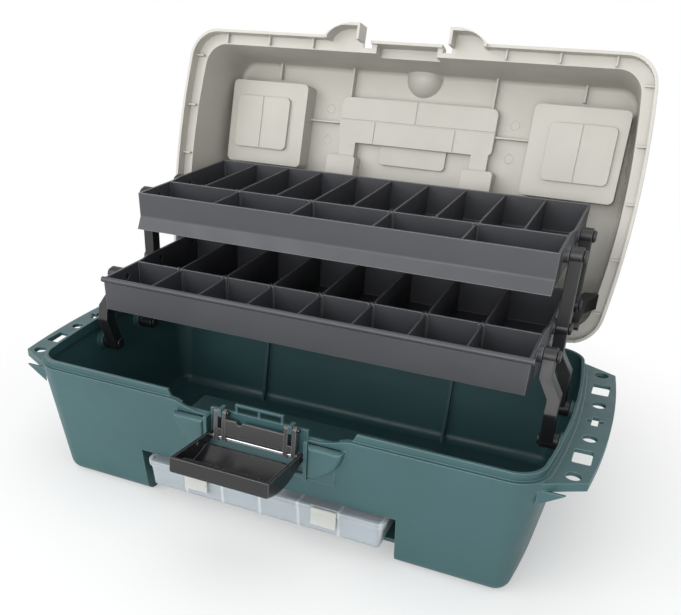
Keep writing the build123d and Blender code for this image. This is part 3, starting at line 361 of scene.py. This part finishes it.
def clear_polypropylene(name, code, through, rough, round_mm=1.0):
    """Polypropylene without pigment: milky walls that show what lies behind, whiter at the edges."""
    material, tree, shader = new_material(name)
    place = add(tree, "ShaderNodeTexCoord").outputs["Object"]
    flow = add(tree, "ShaderNodeTexNoise", {"Scale": per_metre(60), "Detail": 2.0}, {"Vector": place})
    haze = add(
        tree,
        "ShaderNodeMapRange",
        {"From Min": 0.3, "From Max": 0.7, "To Min": rough - 0.04, "To Max": rough + 0.06},
        {"Value": flow.outputs["Fac"]},
    )
    tree.links.new(haze.outputs["Result"], shader.inputs["Roughness"])
    rounded = add(tree, "ShaderNodeBevel", {"Radius": round_mm * MM}, samples=6)
    flat = add(tree, "ShaderNodeNewGeometry").outputs["Normal"]
    facing = {0: rounded.outputs["Normal"], 1: flat}
    same = add(tree, "ShaderNodeVectorMath", links=facing, operation="DOT_PRODUCT")
    clear = add(
        tree,
        "ShaderNodeMapRange",
        {"From Min": 0.8, "From Max": 0.99, "To Min": through * 0.35, "To Max": through},
        {"Value": same.outputs["Value"]},
    )
    tree.links.new(clear.outputs["Result"], shader.inputs["Transmission Weight"])
    tree.links.new(rounded.outputs["Normal"], shader.inputs["Normal"])
    shader.inputs["Base Color"].default_value = (*linear(code), 1)
    shader.inputs["IOR"].default_value = 1.3
    return material, tree, shader


def organiser_polypropylene(pitch_mm):
    """The milky box again, with a pale upright line wherever a cell wall stands behind the front."""
    material, tree, shader = clear_polypropylene("natural_polypropylene", "#e6ecef", 0.66, 0.14)
    place = add(tree, "ShaderNodeTexCoord").outputs["Object"]
    along = add(tree, "ShaderNodeSeparateXYZ", {}, {"Vector": place}).outputs["X"]
    share = add(tree, "ShaderNodeMath", {1: per_metre(pitch_mm)}, {0: along}, operation="MULTIPLY")
    away = add(tree, "ShaderNodeMath", {1: 0.5}, {0: share.outputs["Value"]}, operation="PINGPONG")
    line = add(
        tree,
        "ShaderNodeMapRange",
        {"From Min": 0.015, "From Max": 0.05, "To Min": 0.6, "To Max": 0.0},
        {"Value": away.outputs["Value"]},
        interpolation_type="SMOOTHSTEP",
    )
    paint = add(tree, "ShaderNodeMix", data_type="RGBA")
    tree.links.new(line.outputs["Result"], paint.inputs[MIX_SHARE])
    paint.inputs[MIX_FIRST].default_value = (*linear("#dbe3e8"), 1)
    paint.inputs[MIX_SECOND].default_value = (*linear("#eef1f3"), 1)
    tree.links.new(paint.outputs[MIX_COLOUR], shader.inputs["Base Color"])
    veil = add(
        tree, "ShaderNodeMapRange", {"To Min": 1.0, "To Max": 0.6}, {"Value": line.outputs["Result"]}
    )
    through = shader.inputs["Transmission Weight"].links[0].from_socket
    both = {0: through, 1: veil.outputs["Result"]}
    dimmed = add(tree, "ShaderNodeMath", links=both, operation="MULTIPLY")
    tree.links.new(dimmed.outputs["Value"], shader.inputs["Transmission Weight"])
    return material


# Meshes


def link(name, mesh, body, material):
    """Puts a finished mesh into the scene on its body."""
    piece = bpy.data.objects.new(name, mesh)
    bpy.context.scene.collection.objects.link(piece)
    if material is not None:
        mesh.materials.clear()
        mesh.materials.append(material)
    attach(piece, body)
    return piece


def body_of_node(node):
    """Name of the body that carries a node."""
    bodies = frame["record"]["behaviour"]["bodies"]
    return next(name for name, nodes in bodies.items() if node in nodes)


def shade_by_plane(mesh, smooth_deg, turn_steps=400, plane_gap=0.05 * MM):
    """Gives every face corner its own normal, so flat walls stay flat beside a fillet.

    The normal is the sum over the faces around the point that turn away by less than smooth_deg;
    each face weighs as the squared area of all the faces that lie in its plane. Two faces lie in one
    plane when their normals, in turn_steps to one, and their offsets, in plane_gap, round the same.
    """
    corners, faces = len(mesh.loops), len(mesh.polygons)
    point, sides = np.empty(corners, np.int32), np.empty(faces, np.int32)
    area, normal, centre = np.empty(faces), np.empty((faces, 3)), np.empty((faces, 3))
    mesh.loops.foreach_get("vertex_index", point)
    mesh.polygons.foreach_get("loop_total", sides)
    mesh.polygons.foreach_get("area", area)
    mesh.polygons.foreach_get("normal", normal.ravel())
    mesh.polygons.foreach_get("center", centre.ravel())
    offset = (normal * centre).sum(axis=1)
    steps = np.column_stack([normal * turn_steps, offset / plane_gap])
    plane_key = np.round(steps).astype(np.int64)
    plane = np.unique(plane_key, axis=0, return_inverse=True)[1].ravel()
    weight = np.bincount(plane, area)[plane] ** 2
    face = np.repeat(np.arange(faces), sides)
    order = np.argsort(point, kind="stable")
    share = np.bincount(point)
    first = np.cumsum(share) - share
    here = np.repeat(np.arange(corners), share[point])
    run = np.arange(len(here)) - np.repeat(np.cumsum(share[point]) - share[point], share[point])
    there = order[first[point[here]] + run]
    turn = (normal[face[here]] * normal[face[there]]).sum(axis=1)
    pull = np.where(turn > cos(radians(smooth_deg)), weight[face[there]], 0.0)
    total = np.column_stack([np.bincount(here, pull * normal[face[there], axis]) for axis in range(3)])
    total /= np.maximum(np.linalg.norm(total, axis=1, keepdims=True), 1e-30)
    mesh.normals_split_custom_set(total.tolist())


def dressed(node, material, width, smooth_deg=32, bevel_deg=40):
    """A merged copy of a node's mesh standing for the node: its edges rounded when width is above
    nought, else shaded plane by plane.
    """
    work = bmesh.new()
    work.from_mesh(frame["nodes"][node].data)
    bmesh.ops.remove_doubles(work, verts=work.verts, dist=WELD)
    if width > 0:
        bmesh.ops.dissolve_limit(work, angle_limit=radians(0.1), verts=work.verts, edges=work.edges)
    for face in work.faces:
        face.smooth = True
    mesh = bpy.data.meshes.new(f"{node}_finished")
    work.to_mesh(mesh)
    work.free()
    mesh.set_sharp_from_angle(angle=radians(smooth_deg))
    piece = link(f"{node}_finished", mesh, body_of_node(node), material)
    if width > 0:
        bevel = piece.modifiers.new("moulded edges", "BEVEL")
        bevel.width = width
        bevel.segments = 2
        bevel.limit_method = "ANGLE"
        bevel.angle_limit = radians(bevel_deg)
        bevel.use_clamp_overlap = False
        bevel.harden_normals = False
        bevel.miter_outer = "MITER_ARC"
        weigh = piece.modifiers.new("even shading", "WEIGHTED_NORMAL")
        weigh.keep_sharp = True
    else:
        shade_by_plane(mesh, smooth_deg)
    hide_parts(node)
    return piece


def surface(name, sheets, body, material):
    """One smooth closed piece from grids of points.

    Each grid holds rows, columns and x, y, z. Its columns close on themselves, and its rows do too
    where its flag says so.
    """
    points, quads, start = [], [], 0
    for grid, ring in sheets:
        rows, cols = grid.shape[:2]
        row, col = np.meshgrid(np.arange(rows if ring else rows - 1), np.arange(cols), indexing="ij")
        below, beside = (row + 1) % rows, (col + 1) % cols
        corners = [row * cols + col, below * cols + col, below * cols + beside, row * cols + beside]
        quads.append(np.stack(corners, axis=-1).reshape(-1, 4) + start)
        points.append(grid.reshape(-1, 3) * MM)
        start += rows * cols
    mesh = bpy.data.meshes.new(name)
    mesh.from_pydata(np.concatenate(points).tolist(), [], np.concatenate(quads).tolist())
    work = bmesh.new()
    work.from_mesh(mesh)
    bmesh.ops.remove_doubles(work, verts=work.verts, dist=SURFACE_WELD)
    bmesh.ops.recalc_face_normals(work, faces=work.faces)
    for face in work.faces:
        face.smooth = True
    work.to_mesh(mesh)
    work.free()
    return link(name, mesh, body, material)


def spun_cap(x, y, z, side, radius, rise, sunk=0.4, turns=48, steps=18):
    """A domed pin head: the height over the pin's end falls as the fourth root of one less the radius
    share to the fourth power, spun round the pin's own line and closed inside the pin."""
    share = np.sin(np.linspace(pi / 2, 0, steps))
    height = rise * (1 - share**4) ** 0.25
    radii = np.concatenate([[0.0], radius * share])
    out = np.concatenate([[-sunk], height])
    angle = np.linspace(0, 2 * pi, turns, endpoint=False)
    grid = np.empty((len(radii), turns, 3))
    grid[..., 0] = (side * (x + out))[:, None]
    grid[..., 1] = y + radii[:, None] * np.cos(angle)
    grid[..., 2] = z + radii[:, None] * np.sin(angle)
    return grid, False


def in_open_lid(x, y, z):
    """Where a point of the shut lid lies once it is open: a turn by LID_OPEN about its hinge."""
    turn, hinge_y, hinge_z = radians(LID_OPEN), HINGE[0], HINGE[1]
    dy, dz = y - hinge_y, z - hinge_z
    back = hinge_y + dy * cos(turn) + dz * sin(turn)
    height = hinge_z - dy * sin(turn) + dz * cos(turn)
    return np.stack([x, back, height], axis=-1)


def mould_ring(x, y, z, radius, wire, turns=56, sides=10):
    """The faint raised ring that an ejector pin leaves: a thin torus half sunk in the lid's roof."""
    around = np.linspace(0, 2 * pi, turns, endpoint=False)[:, None]
    across = np.linspace(0, 2 * pi, sides, endpoint=False)[None, :]
    reach = radius + wire * np.cos(across)
    level = z + wire * np.sin(across) + np.zeros_like(around)
    return in_open_lid(x + reach * np.cos(around), y + reach * np.sin(around), level), True


def clip_sheet(x_mid, half_len, line, stations=41, samples=90, blur=20, tip=4, flat_share=0.96):
    """A moulded snap: a plate whose centre line runs smoothly through the given places, with its own
    thickness at each; the thickness closes in a half circle at all four edges.

    The line is sampled four times too finely and averaged over blur samples to each side. Both its
    ends round off over tip samples, and both sides past flat_share of the half length.
    """
    places = np.array(line)
    run = np.linspace(0, len(places) - 1, samples * 4)
    raw = np.column_stack([np.interp(run, np.arange(len(places)), places[:, k]) for k in range(3)])
    window = np.hanning(2 * blur + 1) / np.hanning(2 * blur + 1).sum()
    padded = np.pad(raw, ((blur, blur), (0, 0)), mode="edge")
    soft = np.column_stack([np.convolve(padded[:, k], window, mode="valid") for k in range(3)])[::4]
    way = np.gradient(soft[:, :2], axis=0)
    way /= np.linalg.norm(way, axis=1, keepdims=True)
    off = np.column_stack([way[:, 1], -way[:, 0]])
    to_end = np.minimum(np.arange(len(soft)), np.arange(len(soft))[::-1])
    thick = soft[:, 2] * np.sqrt(1 - np.clip(1 - to_end / tip, 0, 1) ** 2)
    place = np.sin(np.linspace(-pi / 2, pi / 2, stations))
    shrink = np.sqrt(1 - np.clip((np.abs(place) - flat_share) / (1 - flat_share), 0, 1) ** 2)
    half = off[None] * (thick[None, :] * shrink[:, None])[..., None]
    outer, inner = soft[None, :, :2] + half, soft[None, :, :2] - half
    loop = np.concatenate([outer, inner[:, ::-1]], axis=1)
    grid = np.empty((*loop.shape[:2], 3))
    grid[..., 0] = (x_mid + half_len * place)[:, None]
    grid[..., 1:] = loop
    return grid, False


# Stage


class TACKLEBOX_OT_stage(bpy.types.Operator):
    """Sets the pale floor, the soft studio light and the camera."""

    bl_idname = "tackle_box.stage"
    bl_label = "Set the stage"

    def execute(self, context):
        scene = context.scene
        scene.view_settings.view_transform = "Standard"
        build_floor(scene)
        build_world(scene)
        build_lamps(scene)
        build_camera(scene)
        return {"FINISHED"}


def seen_ray(tree):
    """1 where a camera, glossy or transmission ray looks, else 0."""
    path = add(tree, "ShaderNodeLightPath")
    first = add(tree, "ShaderNodeMath", operation="MAXIMUM")
    tree.links.new(path.outputs["Is Camera Ray"], first.inputs[0])
    tree.links.new(path.outputs["Is Glossy Ray"], first.inputs[1])
    second = add(tree, "ShaderNodeMath", operation="MAXIMUM")
    tree.links.new(first.outputs["Value"], second.inputs[0])
    tree.links.new(path.outputs["Is Transmission Ray"], second.inputs[1])
    return second.outputs["Value"]


def build_floor(scene):
    """A wide pale plane that takes the near shadow and turns white to the eye further out."""
    half = 6.0
    mesh = bpy.data.meshes.new("floor")
    corners = [(-half, -half, 0), (half, -half, 0), (half, half, 0), (-half, half, 0)]
    mesh.from_pydata(corners, [], [(0, 1, 2, 3)])
    floor = bpy.data.objects.new("floor", mesh)
    scene.collection.objects.link(floor)
    material, tree, shader = new_material("white_paper_floor")
    shader.inputs["Base Color"].default_value = (*linear("#f4f4f3"), 1)
    shader.inputs["Roughness"].default_value = 0.9
    shader.inputs["Specular IOR Level"].default_value = 0.1
    place = add(tree, "ShaderNodeTexCoord").outputs["Object"]
    far = add(tree, "ShaderNodeVectorMath", links={0: place}, operation="LENGTH")
    fade = add(
        tree,
        "ShaderNodeMapRange",
        {"From Min": 0.2, "From Max": 0.5, "To Min": 0.3, "To Max": 1.0},
        {"Value": far.outputs["Value"]},
        interpolation_type="SMOOTHSTEP",
    )
    blend = add(tree, "ShaderNodeMath", operation="MULTIPLY")
    tree.links.new(fade.outputs["Result"], blend.inputs[0])
    tree.links.new(add(tree, "ShaderNodeLightPath").outputs["Is Camera Ray"], blend.inputs[1])
    white = add(tree, "ShaderNodeEmission", {"Color": (1, 1, 1, 1), "Strength": 1.0})
    mix = add(tree, "ShaderNodeMixShader")
    tree.links.new(blend.outputs["Value"], mix.inputs[0])
    tree.links.new(shader.outputs["BSDF"], mix.inputs[1])
    tree.links.new(white.outputs["Emission"], mix.inputs[2])
    tree.links.new(mix.outputs["Shader"], tree.nodes["Material Output"].inputs["Surface"])
    mesh.materials.append(material)


def build_world(scene):
    """White to the eye, a softer white as light."""
    world = bpy.data.worlds.new("white_studio")
    world.use_nodes = True
    tree = world.node_tree
    tree.nodes.clear()
    eye = add(tree, "ShaderNodeBackground", {"Color": (1, 1, 1, 1), "Strength": 1.0})
    lamp = add(tree, "ShaderNodeBackground", {"Color": (*linear("#f7f9fb"), 1), "Strength": 0.65})
    mix = add(tree, "ShaderNodeMixShader")
    tree.links.new(seen_ray(tree), mix.inputs[0])
    tree.links.new(lamp.outputs["Background"], mix.inputs[1])
    tree.links.new(eye.outputs["Background"], mix.inputs[2])
    add(tree, "ShaderNodeOutputWorld", links={"Surface": mix.outputs["Shader"]})
    scene.world = world


def build_lamps(scene):
    """Soft square lamps: a key at the front left, a front fill, a top light and a faint side one."""
    lamps = (  # name, place in metres, width in metres and power in watts
        ("key", (-1.2, -1.6, 1.2), 1.5, 20.0),
        ("front", (0.1, -2.2, 0.6), 1.5, 33.0),
        ("top", (0.2, 0.1, 2.2), 2.0, 9.0),
        ("side", (1.9, -0.7, 0.9), 1.2, 3.0),
    )
    target = Vector((0.0, 0.0, 0.15))
    for name, place, size, power in lamps:
        data = bpy.data.lights.new(name, "AREA")
        data.shape = "SQUARE"
        data.size = size
        data.energy = power
        lamp = bpy.data.objects.new(name, data)
        lamp.location = place
        lamp.rotation_euler = (target - Vector(place)).to_track_quat("-Z", "Y").to_euler()
        scene.collection.objects.link(lamp)


def build_camera(scene):
    """The photograph's view: place, turn, tilt and roll fitted to the box's own edges."""
    azimuth, elevation, roll = radians(23.89), radians(29.79), radians(1.39)
    focal_px, centre_px = 800.8, (293.5, 424.9)
    back = Vector((sin(azimuth) * cos(elevation), -cos(azimuth) * cos(elevation), sin(elevation)))
    level = Vector((cos(azimuth), sin(azimuth), 0))
    upright = back.cross(level)
    right = cos(roll) * level + sin(roll) * upright
    up = cos(roll) * upright - sin(roll) * level
    data = bpy.data.cameras.new("camera")
    data.sensor_width = 36.0
    data.lens = focal_px / PHOTO_SIZE[0] * data.sensor_width
    data.shift_x = (PHOTO_SIZE[0] / 2 - centre_px[0]) / PHOTO_SIZE[0]
    data.shift_y = (centre_px[1] - PHOTO_SIZE[1] / 2) / PHOTO_SIZE[0]
    data.clip_start = 0.01
    camera = bpy.data.objects.new("camera", data)
    place = Vector((0.2342, -0.5746, 0.3984))  # metres from the box's own origin
    camera.matrix_world = Matrix.Translation(place) @ Matrix((right, up, back)).transposed().to_4x4()
    scene.collection.objects.link(camera)
    scene.camera = camera


# The box's own pieces


class TACKLEBOX_OT_shells(bpy.types.Operator):
    """Finishes the tub and the lid."""

    bl_idname = "tackle_box.shells"
    bl_label = "Finish tub and lid"

    def execute(self, context):
        colours, sizes = context.scene.tackle_finish, context.scene.tackle_sizes
        green = green_polypropylene(colours, sizes)
        beige = beige_polypropylene(colours, sizes)
        dressed("tub", green, 0.0)
        dressed("lid", beige, 0.0)
        rings = [
            mould_ring(side * x, y, ROOF_UNDER, RING_RADIUS, RING_WIRE)
            for x, y in RING_PLACES
            for side in (-1, 1)
        ]
        surface("lid_ejector_rings", rings, body_of_node("lid"), beige)
        return {"FINISHED"}


class TACKLEBOX_OT_trays(bpy.types.Operator):
    """Finishes both trays and their loose dividers."""

    bl_idname = "tackle_box.trays"
    bl_label = "Finish trays"

    def execute(self, context):
        colours, sizes = context.scene.tackle_finish, context.scene.tackle_sizes
        grey = grey_tray_polypropylene(colours, sizes)
        for level in ("lower", "upper"):
            dressed(f"{level}_tray", grey, 0.0)
            dressed(f"{level}_front_dividers", grey, sizes.edge_round)
            dressed(f"{level}_rear_dividers", grey, sizes.edge_round)
        return {"FINISHED"}


class TACKLEBOX_OT_arms(bpy.types.Operator):
    """Finishes the arms, their pins and the legs on the lid."""

    bl_idname = "tackle_box.arms"
    bl_label = "Finish arms"

    def execute(self, context):
        colours, sizes = context.scene.tackle_finish, context.scene.tackle_sizes
        nylon = black_nylon(colours)
        for node in ("short_arms", "long_arms", "rear_arms", "lid_stays", "arm_base_pins", *TRAY_PINS):
            dressed(node, nylon, sizes.edge_round)
        for node, (z, rows) in TRAY_PINS.items():
            caps = [
                spun_cap(PIN_HEAD_X, y, z, side, PIN_HEAD_RADIUS, PIN_HEAD_RISE)
                for y in rows
                for side in (-1, 1)
            ]
            surface(f"{node}_heads", caps, body_of_node(node), nylon)
        return {"FINISHED"}


class TACKLEBOX_OT_latch(bpy.types.Operator):
    """Finishes the lever, its link and the wire pins."""

    bl_idname = "tackle_box.latch"
    bl_label = "Finish latch"

    def execute(self, context):
        colours = context.scene.tackle_finish
        steel = drawn_steel()
        dressed("latch_link", black_abs_painted_lit(), 0.0)
        dressed("latch_lever", black_abs(colours), 0.0)
        for node in ("latch_rod", "lid_hinge_pins", "handle_pins", "cover_hinge_pins"):
            dressed(node, steel, 0.0)
        dressed("latch_pins", blackened_steel(), 0.0)
        return {"FINISHED"}


class TACKLEBOX_OT_organiser(bpy.types.Operator):
    """Finishes the clear organiser and its clips."""

    bl_idname = "tackle_box.organiser"
    bl_label = "Finish organiser"

    def execute(self, context):
        sizes = context.scene.tackle_sizes
        milky = organiser_polypropylene(ORGANISER_PITCH)
        white = clear_polypropylene("white_polypropylene", "#d3d4cf", 0.45, 0.3, 0.5)[0]
        dressed("organiser_box", milky, sizes.edge_round)
        dressed("organiser_lid", milky, sizes.edge_round)
        for node, x in CLIP_X.items():
            clip = clip_sheet(x, CLIP_HALF, CLIP_LINE)
            piece = surface(f"{node}_finished", [clip], body_of_node(node), white)
            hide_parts(node)
        return {"FINISHED"}


class TACKLEBOX_OT_lid_fittings(bpy.types.Operator):
    """Finishes the carrying handle and the covers on top of the lid."""

    bl_idname = "tackle_box.lid_fittings"
    bl_label = "Finish lid fittings"

    def execute(self, context):
        colours, sizes = context.scene.tackle_finish, context.scene.tackle_sizes
        nylon = black_nylon(colours)
        tinted = clear_polypropylene("clear_polystyrene_cover", "#e4eae9", 0.82, 0.1)[0]
        dressed("carry_handle", nylon, 0.0)
        for side in ("left", "right"):
            dressed(f"lid_cover_{side}", tinted, sizes.edge_round)
        return {"FINISHED"}


class TACKLEBOX_PT_panel(bpy.types.Panel):
    """Lists the steps and the finish settings."""

    bl_label = "Tackle Box"
    bl_idname = "TACKLEBOX_PT_panel"
    bl_space_type = "VIEW_3D"
    bl_region_type = "UI"
    bl_category = "Tackle Box"

    def draw(self, context):
        for step in STEPS:
            self.layout.operator(step.bl_idname)
        for group in (context.scene.tackle_finish, context.scene.tackle_sizes):
            for key in group.__annotations__:
                self.layout.prop(group, key)


STEPS = (
    TACKLEBOX_OT_shells,
    TACKLEBOX_OT_trays,
    TACKLEBOX_OT_arms,
    TACKLEBOX_OT_latch,
    TACKLEBOX_OT_organiser,
    TACKLEBOX_OT_lid_fittings,
    TACKLEBOX_OT_stage,
)
CLASSES = (TackleBoxFinish, TackleBoxSizes, *STEPS, TACKLEBOX_PT_panel)


def register():
    for cls in CLASSES:
        bpy.utils.register_class(cls)
    bpy.types.Scene.tackle_finish = bpy.props.PointerProperty(type=TackleBoxFinish)
    bpy.types.Scene.tackle_sizes = bpy.props.PointerProperty(type=TackleBoxSizes)


def unregister():
    del bpy.types.Scene.tackle_sizes
    del bpy.types.Scene.tackle_finish
    for cls in reversed(CLASSES):
        bpy.utils.unregister_class(cls)


def main():
    """Runs every step in order."""
    register()
    for step in STEPS:
        area, name = step.bl_idname.split(".")
        getattr(getattr(bpy.ops, area), name)()


if __name__ == "__main__":
    main()
